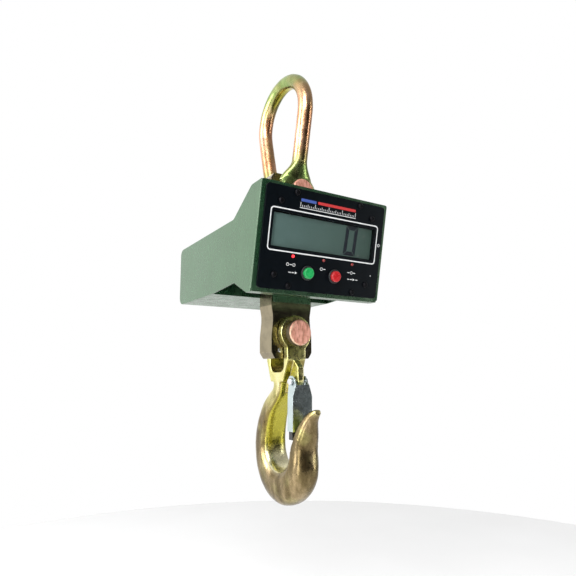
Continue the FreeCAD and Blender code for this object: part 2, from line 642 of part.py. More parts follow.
def make_electronics():
    spots = both_sides(STANDOFFS)
    posts = [slab(f"standoff{index}", "XZ", [hexagon(u, v, 5), (u, v, 1.5)], 1.5, BOARD_Y)
             for index, (u, v) in enumerate(spots)]
    node(group("standoffs", posts), "board_standoffs", FRAME)
    board_loops = [rectangle(66, -88, -12, 1)] + [(u, v, 1.6) for u, v in spots]
    node(slab("board", "XZ", board_loops, BOARD_Y, BOARD_Y + 1.6), "main_board", FRAME)
    back = BOARD_Y + 1.6
    screws = [pan_screw(f"board_screw{index}", at(u, back, v, (0, 0, 1), 180), 2.8, 1.8, 1.45, 5)
              for index, (u, v) in enumerate(spots)]
    node(group("board_screw_set", screws), "board_screws", FRAME)
    chips = [("processor", (-8, 8), 2.0, (46, 62)), ("converter", (22, 30), 1.8, (48, 62)),
             ("memory", (-26, -20), 1.6, (50, 56)), ("regulator", (-52, -42), 4.0, (66, 80)),
             ("cell_socket", (50, 62), 6.5, (58, 64)), ("power_socket", (50, 62), 6.5, (74, 80)),
             ("crystal", (12, 17), 3.0, (66, 70))]
    parts = [head_block(name, x_range, (back, back + tall), v_range)
             for name, x_range, tall, v_range in chips]
    parts += [rod(f"capacitor{index}", (u, back, -v), (0, 1, 0), radius, tall)
              for index, (u, v, radius, tall) in enumerate([(-34, 72, 4, 9), (-24, 74, 3, 7),
                                                            (24, 74, 4, 9)])]
    receiver = head_block("receiver", (-50, -18), (back + 3, back + 4.2), (30, 44))
    header = head_block("receiver_header", (-46, -22), (back, back + 3), (40, 42.5))
    parts.append(join("receiver_set", [receiver, header]))
    node(group("components", parts), "board_components", FRAME)


# ---- battery box ----

def make_battery():
    length, width, height = (SIZE[f"battery_{part}"] for part in ("length", "width", "height"))
    floor = BODY_FLOOR + 1.5
    case = block("battery_case", (-length / 2, 31, floor),
                 ("battery_length", "battery_width", "battery_height"))
    top = floor + height
    terminals = [block(f"battery_terminal{y}", (30, y, top - 1), (11.7, 9, 8)) for y in (34, 86)]
    node(join("battery_pack", [case] + terminals), "battery")
    half = length / 2
    strap = [(-half - 12, floor), (-half - 0.3, floor), (-half - 0.3, top + 0.3),
             (half + 0.3, top + 0.3), (half + 0.3, floor), (half + 12, floor),
             (half + 12, floor + 1.2), (half + 1.5, floor + 1.2), (half + 1.5, top + 1.5),
             (-half - 1.5, top + 1.5), (-half - 1.5, floor + 1.2), (-half - 12, floor + 1.2)]
    strap_blank = slab("strap_blank", "XZ", [strap], 56, 76)
    strap_holes = [rod(f"strap_hole{side}", (side * (half + 7), 66, floor - 1), (0, 0, 1), 1.6, 5)
                   for side in (-1, 1)]
    node(cut("strap", strap_blank, strap_holes), "battery_strap")
    feet = [pan_screw(f"strap_screw{side}", at(side * (half + 7), 66, floor + 1.2, (1, 0, 0), -90),
                      2.9, 1.9, 1.5, 1.2) for side in (-1, 1)]
    node(group("strap_screw_set", feet), "battery_strap_screws")
    barrel = [(-2, 2.8), (-2, 6.6), (-1.6, 7), (0, 7), (0, 5.5), (12, 5.5), (12, 0), (8, 0),
              (8, 2.8)]
    socket_place = at(HALF_WIDTH, SOCKET_Y, SOCKET_Z, (0, 0, 1), 90)
    node(turned("socket_barrel", barrel), "charging_socket", socket_place)
    node(slab("socket_nut", "XZ", [hexagon(0, 0, 14), (0, 0, 5.55)], 1.5, 4),
         "charging_socket_nut", socket_place)


def make_cables():
    rings = []
    for number, (y, z) in enumerate([(WELL_FRONT - 0.75, MIDDLE_Z), (WELL_FRONT - 0.75, LEAD_Z),
                                     (WELL_REAR + 0.75, LEAD_Z)]):
        ring = [(-2, 2.6), (-2, 6), (-0.75, 6), (-0.75, 4.45), (0.75, 4.45), (0.75, 6),
                (2, 6), (2, 2.6)]
        rings.append(turned(f"grommet{number}", ring, at(CABLE_X, y, z)))
    node(group("grommets", rings), "cable_grommets")
    socket_face = BOARD_Y + 8.8
    cell_socket = tuple(FRAME.multVec(Vector(CABLE_X, socket_face, -61)))
    cell_route = [(36.1, -7, MIDDLE_Z), (45, -7, MIDDLE_Z), (CABLE_X, -18, MIDDLE_Z),
                  (CABLE_X, -30, MIDDLE_Z + 0.9), cell_socket]
    node(tube("cell_cable", cell_route, 1.5), "load_cell_cable")
    power_socket = tuple(FRAME.multVec(Vector(CABLE_X, socket_face, -77)))
    lead_route = [(42, 38.5, -180.5), (52, 39, -181.5), (60, 40.5, -189), (61, 38.5, -200.5),
                  (58, 34, -210), (CABLE_X, 27.5, LEAD_Z), (CABLE_X, 12, LEAD_Z - 0.4),
                  (CABLE_X, -10, LEAD_Z - 0.5), power_socket]
    node(tube("power_lead", lead_route, 1.5), "battery_lead")
    charge_route = [(60.7, SOCKET_Y, SOCKET_Z), (53, SOCKET_Y + 0.5, SOCKET_Z + 1.5),
                    (48, SOCKET_Y, -190), (47, 106, -182), (50.5, 98, -179), (50, 91, -180), (42.3, 90.5, -180.2)]
    node(tube("charge_lead", charge_route, 1.3), "charging_lead")


# ---- hook, in axes centred on the lower pin ----

def oval_section(name, station):
    """A section of the hook's body: flat where the sling lies and round on the outside."""
    y, z, inward, half_width, half_depth = station
    normal = Vector(0, math.cos(math.radians(inward)), math.sin(math.radians(inward)))
    halves = []
    for start, fullness in ((0, 0.6), (8, 0.85)):
        points = []
        for step in range(start, start + 9):
            angle = 2 * math.pi * step / 16
            across = math.copysign(abs(math.cos(angle)) ** fullness, math.cos(angle))
            deep = math.copysign(abs(math.sin(angle)) ** fullness, math.sin(angle))
            width = half_width * across * (1 + 0.04 * deep)
            points.append(Vector(width, y, z) + normal * (half_depth * deep))
        curve = Part.BSplineCurve()
        leaving = normal if start == 0 else -normal
        curve.interpolate(Points=points, InitialTangent=leaving, FinalTangent=-leaving)
        halves.append(curve.toShape())
    section = doc.addObject("Part::Feature", name)
    section.Shape = Part.Wire(halves)
    return section


def hook_stations():
    """Section centres down the spine, round the bowl and out to the point."""
    spine = [(2, -44, 183, 10.7, 11.4), (4, -54, 188, 10.8, 9.8), (10, -62.5, 212, 11.5, 10),
             (18.8, -71, 216, 12.7, 10.6), (25.5, -81, 209, 13.5, 11.8),
             (30, -92, 198, 14.1, 12.9), (32.5, -102, 188, 14.5, 13.5)]
    bowl = []
    sizes = [(14.7, 13.9), (15.1, 15), (15.5, 16.4), (15.5, 17), (15.1, 15.4), (14.3, 12.6),
             (12.8, 9.4)]
    for step, (half_width, half_depth) in enumerate(sizes):
        angle = math.radians(30 * step)
        reach = SIZE["bowl_radius"] + half_depth
        bowl.append((SIZE["bowl_y"] + reach * math.cos(angle),
                     -SIZE["bowl_drop"] - reach * math.sin(angle),
                     180 - 30 * step, half_width, half_depth))
    point = [(-36.8, -100, 14, 11.6, 8.2), (-39.8, -92, 22, 9.8, 7.2), (-44.3, -84, 35, 7.4, 5.9),
             (-50.2, -78.6, 52, 5.2, 4.4), (-56, -75.6, 68, 3.2, 2.6)]
    return spine + bowl + point


def make_hook():
    sections = [oval_section(f"hook_section{index}", station)
                for index, station in enumerate(hook_stations())]
    curve = doc.addObject("Part::Loft", "hook_curve")
    curve.Sections = sections
    curve.Solid = True
    inner = SIZE["cheek_inner"]
    outer = SIZE["cheek_outer"]
    fork_outline = [(-outer, 18), (-outer, -26, 10), (-11, -48), (13, -48), (outer, -26, 10),
                    (outer, 18), (inner, 18), (inner, -38.5, 8), (-inner, -38.5, 8), (-inner, 18)]
    fork = slab("fork_blank", "YZ", [fork_outline], -18, 18)
    eyes = rod("fork_eyes", (0, -30, 0), (0, 1, 0), "hook_eye_radius", 60)
    neck = block("fork_neck", (-SIZE["neck_half_width"], -30, -50),
                 ("2 * neck_half_width", 60, 46))
    shaped = common("fork", [fork, join("fork_front_view", [eyes, neck])])
    lug = slab("latch_lug", "YZ", [[(-20, -26), (-28, -34, 2), (-28.4, -47, 2), (-25, -55, 3),
                                    (-17, -58), (2, -60), (2, -42), (-15, -39)]], -3.4, 3.4)
    pivot_hole = rod("lug_hole", (-20, SIZE["latch_pivot_y"], -SIZE["latch_pivot_drop"]),
                     (1, 0, 0), 2.03, 40)
    pin_hole = rod("fork_bore", (0, -40, 0), (0, 1, 0), "pin_radius + pin_clearance", 80)
    node(cut("hook", join("hook_blank", [curve, shaped, lug]), [pin_hole, pivot_hole]),
         "hook_body", HOOK)
    node(load_pin("lower_pin", outer, outer + 10, 0), "hook_pin", HOOK)
    node(washer("lower_washer", outer + 0.1, outer + 2, 14, 10.3), "hook_pin_washer", HOOK)
    spacers = [washer(f"spacer{side}", side * 12.5 - 0.2, side * 12.5 + 0.2, 17, 10.3)
               for side in (-1, 1)]
    node(group("spacers", spacers), "hook_spacer_washers", HOOK)
    node(split_pin("lower_split_pin"), "hook_split_pin", HOOK * at(0, outer + 4, 0))


def make_latch():
    pivot_y = SIZE["latch_pivot_y"]
    pivot_z = -SIZE["latch_pivot_drop"]
    rivet = [(-10.6, 0), (-10.6, 2.6), (-9.8, 3.6), (-8, 3.6), (-8, 2), (8, 2), (8, 3.6),
             (9.8, 3.6), (10.6, 2.6), (10.6, 0)]
    node(turned("rivet", rivet), "latch_rivet",
         HOOK * at(0, pivot_y, pivot_z, (0, 0, 1), -90))
    sheet_metal = SIZE["latch_sheet"]
    side_line = [(7.5, -42), (7.5, -52), (11.2, -62), (11.2, -95)]
    band = side_line + [(x - sheet_metal, z) for x, z in reversed(side_line)]
    flange_view = [(-30.8, -51), (-29.6, -95), (-20, -95), (-21, -62), (-16.5, -52),
                   (-16.5, -45, 3), (-18.5, -42.3, 3), (-25.5, -42.3, 4), (-28.5, -48, 2)]
    flanges = []
    for side in (-1, 1):
        outline = [(side * x, z) for x, z in band]
        wide = slab(f"latch_flange{side}_band", "XZ", [outline], -40, -10)
        view = slab(f"latch_flange{side}_view", "YZ", [flange_view], -12, 12)
        flanges.append(common(f"latch_flange{side}", [wide, view]))
    plate_view = [(-30.8, -51), (-29.6, -95), (-29.6 + sheet_metal, -95),
                  (-30.8 + sheet_metal, -51)]
    plate_depth = slab("latch_plate_view", "YZ", [plate_view], -12, 12)
    front = [(11.2, -95), (11.2, -62), (7.8, -51)]
    plate_front = slab("latch_plate_front", "XZ", [mirrored_corners(front)], -40, -10)
    plate = common("latch_plate_blank", [plate_depth, plate_front])
    rivet_hole = rod("latch_hole", (-20, pivot_y, pivot_z), (1, 0, 0), 2.05, 40)
    node(cut("latch", join("latch_sheet_metal", flanges + [plate]), [rivet_hole]),
         "latch_plate", HOOK)
    pad = [(-25.8, -103), (-19.8, -103), (-19.8, -90), (-27.4, -90), (-27.4, -95.2),
           (-25.8, -95.2)]
    node(slab("tip_pad", "YZ", [pad], -9.6, 9.6), "latch_tip_pad", HOOK)
    coils = []
    for side in (-1, 1):
        for turn in range(2):
            coil = doc.addObject("Part::Torus", f"latch_coil{side}_{turn}")
            bind(coil, Radius1=3.1, Radius2=0.5)
            coil.Placement = at(side * (4.2 + 1.05 * turn), pivot_y, pivot_z, (0, 1, 0), 90)
            coils.append(coil)
        coils.append(rod(f"latch_spring_leg{side}", (side * 5.2, pivot_y - 3, pivot_z),
                         (0, -0.2, -1), 0.5, 14))
    node(group("latch_coils", coils), "latch_spring", HOOK)


make_shackle()
make_load_cell()
make_housing()
make_panel()
make_display()
make_buttons()
make_electronics()
make_battery()
make_cables()
make_hook()
make_latch()
doc.recompute()

faults = [item.Label for item in doc.Objects if {"Invalid", "Error"} & set(item.State)]
for item in NODES:
    if item.Shape.isNull() or not item.Shape.isValid() or item.Shape.Volume <= 0:
        faults.append(item.Label + " shape")
if faults:
    raise SystemExit(f"faulty: {faults}")

os.makedirs("parts", exist_ok=True)
for item in NODES:
    item.Shape.exportStep(f"parts/{item.Label}.step")
    print(f"{item.Label:26s} solids {len(item.Shape.Solids):3d}  volume {item.Shape.Volume:10.0f}")
print(len(NODES), "nodes")
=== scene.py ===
import json
import math

import bmesh
import bpy
from mathutils import Matrix, Vector, noise


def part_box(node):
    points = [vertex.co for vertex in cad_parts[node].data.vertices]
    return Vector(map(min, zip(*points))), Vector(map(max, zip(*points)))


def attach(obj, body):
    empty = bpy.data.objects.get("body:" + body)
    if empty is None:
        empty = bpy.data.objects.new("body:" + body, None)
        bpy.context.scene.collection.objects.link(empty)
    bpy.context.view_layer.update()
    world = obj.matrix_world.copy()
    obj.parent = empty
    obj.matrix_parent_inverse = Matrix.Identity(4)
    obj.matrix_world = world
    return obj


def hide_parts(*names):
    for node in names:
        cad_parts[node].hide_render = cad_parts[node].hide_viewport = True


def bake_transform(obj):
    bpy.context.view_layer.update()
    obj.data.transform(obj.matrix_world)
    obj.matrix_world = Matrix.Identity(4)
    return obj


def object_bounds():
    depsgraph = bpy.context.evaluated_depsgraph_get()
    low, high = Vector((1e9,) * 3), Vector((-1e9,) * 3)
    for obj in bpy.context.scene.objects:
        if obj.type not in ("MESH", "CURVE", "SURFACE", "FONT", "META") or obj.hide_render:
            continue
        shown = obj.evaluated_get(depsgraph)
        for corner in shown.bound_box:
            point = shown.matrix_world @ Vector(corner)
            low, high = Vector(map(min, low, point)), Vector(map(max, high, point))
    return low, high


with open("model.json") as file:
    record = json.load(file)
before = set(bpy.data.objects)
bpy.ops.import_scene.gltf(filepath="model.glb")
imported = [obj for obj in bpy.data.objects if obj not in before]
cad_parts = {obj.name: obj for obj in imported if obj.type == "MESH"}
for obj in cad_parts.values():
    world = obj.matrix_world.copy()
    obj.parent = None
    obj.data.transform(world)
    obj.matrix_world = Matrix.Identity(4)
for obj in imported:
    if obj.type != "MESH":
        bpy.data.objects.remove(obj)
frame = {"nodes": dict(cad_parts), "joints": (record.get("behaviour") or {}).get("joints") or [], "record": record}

CAD_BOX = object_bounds()
MM = 0.001
NODES = frame["nodes"]
RECORD = frame["record"]
JOINTS = {joint["name"]: joint for joint in frame["joints"]}
BODY_OF = {node: body for body, members in RECORD["behaviour"]["bodies"].items()
           for node in members}

UPPER_PIN = Vector(JOINTS["scale_swing"]["pos_m"])
LOWER_PIN = Vector(JOINTS["hook_swing"]["pos_m"])
LATCH_PIVOT = Vector(JOINTS["latch_hinge"]["pos_m"])

# The display head leans forward: its own axes are x across, y inwards and z up the slope.
INWARDS = Vector(JOINTS["green_button_press"]["axis"])
TILT = math.atan2(INWARDS.z, INWARDS.y)
SHEET = 1.5 * MM
HEAD_LOW, HEAD_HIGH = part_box("front_frame")
HEAD_TOP = Vector((0, HEAD_LOW.y, HEAD_HIGH.z - SHEET * math.sin(TILT)))
HEAD = Matrix.Translation(HEAD_TOP) @ Matrix.Rotation(TILT, 4, "X")

ALONG_X = Vector((1, 0, 0))
ALONG_Y = Vector((0, 1, 0))
SAME_POINT = 0.001 * MM         # vertices closer than this are one vertex

# Only the narrow faces of a rounded edge wear, and fully where they turn this sharply.
EDGE_FACE_WIDTH = 0.6 * MM
FULL_WEAR_TURN = math.radians(25)

# How squarely a surface must look at a line before it counts as rubbed, and over what span.
RUBBED_FROM = 0.45
RUBBED_SPAN = 0.35

# How soon a pin's end takes over from its round side.
END_SHARPNESS = 1.4

POINTS_PER_TURN = 16            # of a coil spring

# A forged skin: broad lumps and finer ones, in waves per metre.
BROAD_LUMPS = 130
FINE_LUMPS = 520
FINE_SHARE = 0.35


# ---- mesh helpers ----

def link(name, mesh):
    """A new object in the scene with the given data."""
    piece = bpy.data.objects.new(name, mesh)
    bpy.context.scene.collection.objects.link(piece)
    return piece


def mesh_from(name, bm):
    """Turn a bmesh into a mesh and free it."""
    mesh = bpy.data.meshes.new(name)
    bm.to_mesh(mesh)
    bm.free()
    return mesh


def applied(piece):
    """Turn a piece and its modifiers into one plain mesh."""
    bpy.context.view_layer.update()
    evaluated = piece.evaluated_get(bpy.context.evaluated_depsgraph_get())
    mesh = bpy.data.meshes.new_from_object(evaluated)
    piece.modifiers.clear()
    piece.data = mesh


def finish_piece(piece, body, material, replaced=()):
    """Give a piece its finish, let it ride on its body and stand for CAD nodes."""
    piece.data.materials.clear()
    piece.data.materials.append(material)
    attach(piece, body)
    if replaced:
        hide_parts(*replaced)
    return piece


def mark_wear(mesh):
    """Store how sharply the surface turns at each vertex of a rounded edge, for wear."""
    bm = bmesh.new()
    bm.from_mesh(mesh)
    wear = mesh.attributes.new("wear", "FLOAT", "POINT")
    values = [0.0] * len(bm.verts)
    for vertex in bm.verts:
        turn = max((edge.calc_face_angle(0.0) for edge in vertex.link_edges), default=0.0)
        width = max((face.calc_area() / max(edge.calc_length() for edge in face.edges)
                     for face in vertex.link_faces), default=1.0)
        if width < EDGE_FACE_WIDTH:
            values[vertex.index] = min(1.0, turn / FULL_WEAR_TURN)
    wear.data.foreach_set("value", values)
    bm.free()


def smooth_shaded(mesh):
    """Shade every face smooth."""
    for face in mesh.polygons:
        face.use_smooth = True


def refined(node, material, bevel):
    """A CAD sub-part with its sharp edges rounded off as the real piece has them."""
    bm = bmesh.new()
    bm.from_mesh(NODES[node].data)
    bmesh.ops.remove_doubles(bm, verts=bm.verts, dist=SAME_POINT)
    bmesh.ops.dissolve_limit(bm, angle_limit=math.radians(1), verts=bm.verts, edges=bm.edges)
    mesh = mesh_from(node + "_shape", bm)
    smooth_shaded(mesh)
    piece = link(node + "_shape", mesh)
    rounding = piece.modifiers.new("bevel", "BEVEL")
    rounding.width = bevel
    rounding.segments = 3
    rounding.limit_method = "ANGLE"
    rounding.angle_limit = math.radians(35)
    rounding.use_clamp_overlap = True
    shading = piece.modifiers.new("normals", "WEIGHTED_NORMAL")
    shading.weight = 80
    applied(piece)
    mark_wear(piece.data)
    return finish_piece(piece, BODY_OF[node], material, [node])


def mark_inside(mesh, start, end, across):
    """Store which vertices face the line from start to end, seen along across.

    That is the inner side of the bow or hook, where a chain or sling rubs."""
    inside = mesh.attributes.new("inside", "FLOAT", "POINT")
    line = end - start
    values = []
    for vertex, normal in zip(mesh.vertices, mesh.vertex_normals):
        away = vertex.co - start
        away -= across * away.dot(across)
        share = max(0.0, min(1.0, away.dot(line) / line.length_squared))
        facing = (line * share - away).normalized().dot(normal.vector)
        values.append(max(0.0, min(1.0, (facing - RUBBED_FROM) / RUBBED_SPAN)))
    inside.data.foreach_set("value", values)


def mark_round(mesh):
    """Store which vertices lie on the round side of a pin along y and not on its ends, where the pin gets painted
    shade.
    """
    side = mesh.attributes.new("inside", "FLOAT", "POINT")
    side.data.foreach_set("value", [1.0 - min(1.0, abs(normal.vector.y) * END_SHARPNESS)
                                    for normal in mesh.vertex_normals])


def forged(node, material, voxel, rounds, lump, inside):
    """A CAD sub-part as a forging: its corners run together and its skin is slightly lumpy.

    voxel and rounds say how far the corners run together, lump how high the lumps are,
    and inside is what mark_inside needs."""
    piece = link(node + "_forging", NODES[node].data.copy())
    remesh = piece.modifiers.new("remesh", "REMESH")
    remesh.mode = "VOXEL"
    remesh.voxel_size = voxel
    remesh.use_smooth_shade = True
    soften = piece.modifiers.new("soften", "SMOOTH")
    soften.factor = 0.5
    soften.iterations = rounds
    applied(piece)
    mesh = piece.data
    places = [vertex.co.copy() for vertex in mesh.vertices]
    normals = [normal.vector.copy() for normal in mesh.vertex_normals]
    moved = []
    for place, normal in zip(places, normals):
        swell = noise.noise(place * BROAD_LUMPS) + FINE_SHARE * noise.noise(place * FINE_LUMPS)
        moved.extend(place + normal * swell * lump)
    mesh.vertices.foreach_set("co", moved)
    mesh.update()
    mark_inside(mesh, *inside)
    smooth_shaded(mesh)
    return finish_piece(piece, BODY_OF[node], material, [node])


def prism(bm, outline, front, back):
    """A thin solid drawn on the display head: outline of (x, z) points, from y front to back."""
    near = [bm.verts.new(HEAD @ Vector((x, front, z))) for x, z in outline]
    far = [bm.verts.new(HEAD @ Vector((x, back, z))) for x, z in outline]
    bm.faces.new(near)
    bm.faces.new(list(reversed(far)))
    count = len(outline)
    for index in range(count):
        following = (index + 1) % count
        bm.faces.new((near[following], near[index], far[index], far[following]))


def ring(bm, outer, inner, front, back):
    """A thin flat ring between two outlines with the same number of points."""
    loops = [[bm.verts.new(HEAD @ Vector((x, y, z))) for x, z in outline]
             for outline in (outer, inner) for y in (front, back)]
    outer_near, outer_far, inner_near, inner_far = loops
    count = len(outer)
    pairs = ((outer_near, inner_near), (inner_near, inner_far), (inner_far, outer_far),
             (outer_far, outer_near))
    for index in range(count):
        following = (index + 1) % count
        for a, b in pairs:
            bm.faces.new((a[index], a[following], b[following], b[index]))


def rounded_box(half_width, half_height, radius, centre, steps=6):
    """The outline of a rectangle with rounded corners."""
    points = []
    for corner in range(4):
        side_x = 1 if corner in (0, 3) else -1
        side_z = 1 if corner < 2 else -1
        for step in range(steps + 1):
            angle = math.radians(90 * corner + 90 * step / steps)
            points.append((centre[0] + side_x * (half_width - radius) + radius * math.cos(angle),
                           centre[1] + side_z * (half_height - radius) + radius * math.sin(angle)))
    return points


def circle(radius, centre, steps=24):
    """The outline of a circle."""
    angles = [2 * math.pi * step / steps for step in range(steps)]
    return [(centre[0] + radius * math.cos(a), centre[1] + radius * math.sin(a)) for a in angles]


def head_piece(name, material, draw):
    """A thin printed piece on the display head; draw fills its mesh."""
    bm = bmesh.new()
    draw(bm)
    bmesh.ops.recalc_face_normals(bm, faces=bm.faces)
    finish_piece(link(name, mesh_from(name, bm)), "scale", material)


def wire(name, runs, radius, material, replaced):
    """Bent round wire: each run is a list of points along its middle."""
    curve = bpy.data.curves.new(name, "CURVE")
    curve.dimensions = "3D"
    curve.bevel_depth = radius
    curve.bevel_resolution = 3
    curve.use_fill_caps = True
    for points in runs:
        spline = curve.splines.new("NURBS")
        spline.points.add(len(points) - 1)
        for point, place in zip(spline.points, points):
            point.co = (*place, 1)
        spline.use_endpoint_u = True
        spline.order_u = 3
    path = link(name + "_path", curve)
    bpy.context.view_layer.update()
    evaluated = path.evaluated_get(bpy.context.evaluated_depsgraph_get())
    solid = link(name, bpy.data.meshes.new_from_object(evaluated))
    bpy.data.objects.remove(path)
    smooth_shaded(solid.data)
    solid.data.materials.append(material)
    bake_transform(solid)
    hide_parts(replaced)


def coil_points(centre, axis, start, radius, length, turns):
    """Points of a coil about an axis; start is the direction of its first point."""
    side = axis.cross(start)
    steps = turns * POINTS_PER_TURN
    points = []
    for step in range(steps + 1):
        angle = 2 * math.pi * turns * step / steps
        spoke = start * math.cos(angle) + side * math.sin(angle)
        points.append(centre + axis * (length * step / steps) + spoke * radius)
    return points


# ---- material helpers ----

def fill_ramp(node, stops):
    """Give a colour ramp its stops of (place, colour)."""
    elements = node.color_ramp.elements
    while len(elements) < len(stops):
        elements.new(0.5)
    for element, (place, colour) in zip(elements, stops):
        element.position = place
        element.color = (*colour, 1)


def scaled(colour, factor):
    """A lighter or darker colour, with no channel above 1."""
    return tuple(min(1, channel * factor) for channel in colour)


# A Mix node has sockets for every data type; these are the places of the colour ones.
MIX_COLOURS = slice(6, 8)
MIX_COLOUR_RESULT = 2


class Finish:
    """A procedural material, built around one Principled shader. Sizes are in metres."""

    def __init__(self, name, **sockets):
        self.material = bpy.data.materials.new(name)
        self.material.use_nodes = True
        self.tree = self.material.node_tree
        self.shader = self.tree.nodes["Principled BSDF"]
        self.place = self.node("ShaderNodeTexCoord").outputs["Object"]
        self.last_bump = None
        for socket, value in sockets.items():
            self.shader.inputs[socket.replace("_", " ")].default_value = value

    def node(self, kind, **settings):
        """A new node with some of its settings."""
        made = self.tree.nodes.new(kind)
        for setting, value in settings.items():
            setattr(made, setting, value)
        return made

    def feed(self, socket, value):
        """Link a socket to another node's output, or set it to a plain value."""
        if hasattr(value, "links"):
            self.tree.links.new(value, socket)
        else:
            socket.default_value = value

    def noise(self, size, detail=3.0, stretch=(1, 1, 1), rough=0.5):
        """Cloudy variation whose spots are about size across."""
        mapping = self.node("ShaderNodeMapping")
        self.feed(mapping.inputs["Vector"], self.place)
        mapping.inputs["Scale"].default_value = [1 / axis for axis in stretch]
        cloud = self.node("ShaderNodeTexNoise")
        self.feed(cloud.inputs["Vector"], mapping.outputs["Vector"])
        cloud.inputs["Scale"].default_value = 1 / size
        cloud.inputs["Detail"].default_value = detail
        cloud.inputs["Roughness"].default_value = rough
        return cloud.outputs["Fac"]

    def ramp(self, value, stops):
        """Colours by value: stops of (place, colour)."""
        ramp = self.node("ShaderNodeValToRGB")
        fill_ramp(ramp, stops)
        self.feed(ramp.inputs["Fac"], value)
        return ramp.outputs["Color"]

    def span(self, value, low, high, to_low=0.0, to_high=1.0):
        """Map a value from low..high to to_low..to_high, clamped."""
        mapping = self.node("ShaderNodeMapRange")
        self.feed(mapping.inputs["Value"], value)
        for socket, number in zip(("From Min", "From Max", "To Min", "To Max"),
                                  (low, high, to_low, to_high)):
            mapping.inputs[socket].default_value = number
        return mapping.outputs["Result"]

    def height(self, axis="Z"):
        """The position along an axis."""
        split = self.node("ShaderNodeSeparateXYZ")
        self.feed(split.inputs["Vector"], self.place)
        return split.outputs[axis]

    def math(self, operation, a, b=0.0):
        """Arithmetic on one or two values."""
        step = self.node("ShaderNodeMath", operation=operation)
        self.feed(step.inputs[0], a)
        self.feed(step.inputs[1], b)
        return step.outputs["Value"]

    def blend(self, share, a, b):
        """Colour a where share is 0 and colour b where it is 1."""
        mix = self.node("ShaderNodeMix", data_type="RGBA")
        self.feed(mix.inputs["Factor"], share)
        for socket, colour in zip(mix.inputs[MIX_COLOURS], (a, b)):
            self.feed(socket, (*colour, 1) if isinstance(colour, tuple) else colour)
        return mix.outputs[MIX_COLOUR_RESULT]

    def wear(self, amount):
        """Worn edges, broken up by noise."""
        edge = self.node("ShaderNodeAttribute", attribute_name="wear").outputs["Fac"]
        patchy = self.span(self.noise(4 * MM, 4), 0.42, 0.66, 0, amount)
        return self.math("MULTIPLY", edge, patchy)

    def colour(self, value):
        self.feed(self.shader.inputs["Base Color"], value)

    def roughness(self, value):
        self.feed(self.shader.inputs["Roughness"], value)

    def bump(self, value, depth, strength):
        """Raise the surface by depth where value is high, on top of any bump before it."""
        bump = self.node("ShaderNodeBump")
        bump.inputs["Distance"].default_value = depth
        bump.inputs["Strength"].default_value = strength
        self.feed(bump.inputs["Height"], value)
        if self.last_bump:
            self.tree.links.new(self.last_bump, bump.inputs["Normal"])
        self.last_bump = bump.outputs["Normal"]
        self.tree.links.new(self.last_bump, self.shader.inputs["Normal"])


# ---- materials ----

def green_paint():
    """Dark green enamel on sheet steel, with orange peel and rubbed edges."""
    paint = Finish("green_paint", IOR=2.15, Specular_Tint=(0.74, 1.0, 0.68, 1))
    drift = paint.ramp(paint.noise(40 * MM, 4), [(0.3, (0.008, 0.034, 0.015)),
                                                 (0.7, (0.012, 0.045, 0.020))])
    rubbed = paint.blend(paint.wear(0.5), drift, (0.16, 0.24, 0.18))
    paint.colour(rubbed)
    streaks = paint.noise(9 * MM, 5, stretch=(1, 1, 4))
    paint.roughness(paint.span(streaks, 0.3, 0.7, 0.20, 0.34))
    paint.bump(paint.noise(1.4 * MM, 2), 0.05 * MM, 0.35)
    paint.bump(paint.noise(14 * MM, 2, stretch=(1, 1, 3)), 0.5 * MM, 0.12)
    return paint.material


INNER_YELLOW = (0.44, 0.40, 0.06)
# Painted highlight on the inner side at the bottom of the hook's bowl, in place of the bright reflection there.
BOWL_HIGHLIGHT = (0.86, 0.80, 0.52)
DARK_RIM = (0.12, 0.08, 0.035)
HOLLOW_DARK = (0.14, 0.10, 0.04)
BRIGHT_CREST = (0.74, 0.64, 0.42)
SPECKLE = (0.20, 0.13, 0.06)
NO_HIGHLIGHT = -1                  # a height below every part
HIGHLIGHT_FADE = 14 * MM


